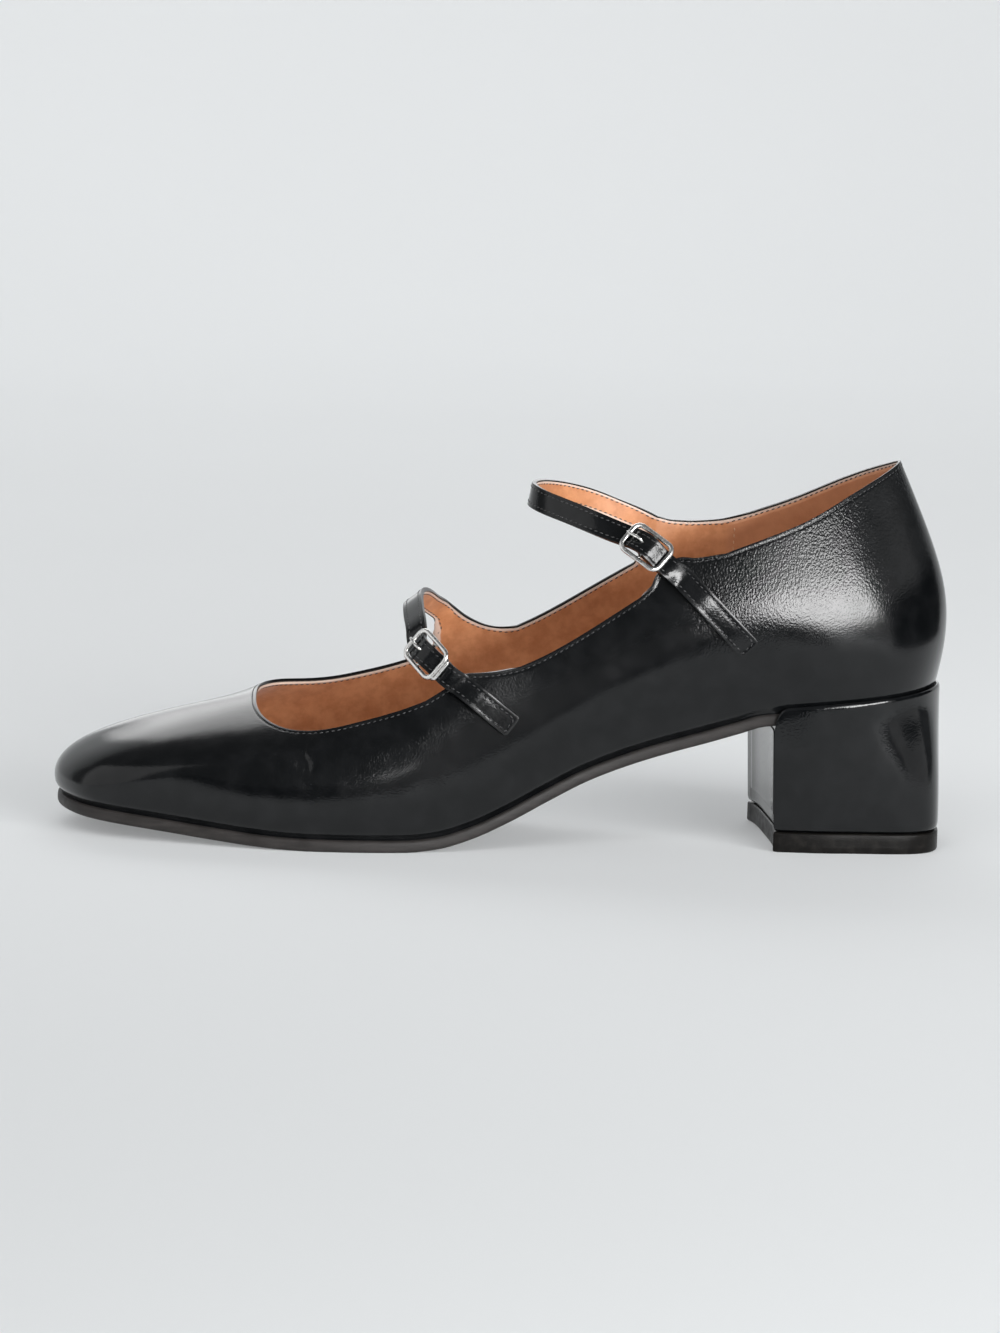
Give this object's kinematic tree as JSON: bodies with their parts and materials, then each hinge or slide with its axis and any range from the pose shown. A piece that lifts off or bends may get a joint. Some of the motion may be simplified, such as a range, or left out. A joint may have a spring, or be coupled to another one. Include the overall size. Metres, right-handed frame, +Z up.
{
  "type": "block-heel mary jane pump",
  "caption": "Leather mary jane pump with buckled instep straps, a squared round toe and a covered block heel, for a left foot.",
  "frame": {"origin": "centre of the shoe's length and width, on the plane it stands on", "axes": "-X towards the toe, +X towards the heel, -Y towards the lateral side, +Y towards the medial side, +Z up"},
  "size_m": [0.2508, 0.0789, 0.1082],
  "materials": {
    "black_leather": "smooth, glossy, softly creased",
    "strap_leather": "smooth, semi-gloss",
    "tan_lining": "matte, fine wrinkles",
    "sole_leather": "matte, dyed edge",
    "heel_tip": "matte",
    "buckle_metal": "polished nickel"
  },
  "bodies": {
    "root": {"upper": "black_leather", "outsole": "sole_leather", "insole": "tan_lining", "heel_block": "black_leather", "heel_tip": "heel_tip", "strap_front": "strap_leather", "strap_rear": "strap_leather", "chape_front": "strap_leather", "chape_rear": "strap_leather", "buckle_front": "buckle_metal", "buckle_rear": "buckle_metal", "pin_front": "buckle_metal", "pin_rear": "buckle_metal"}
  },
  "joints": []
}
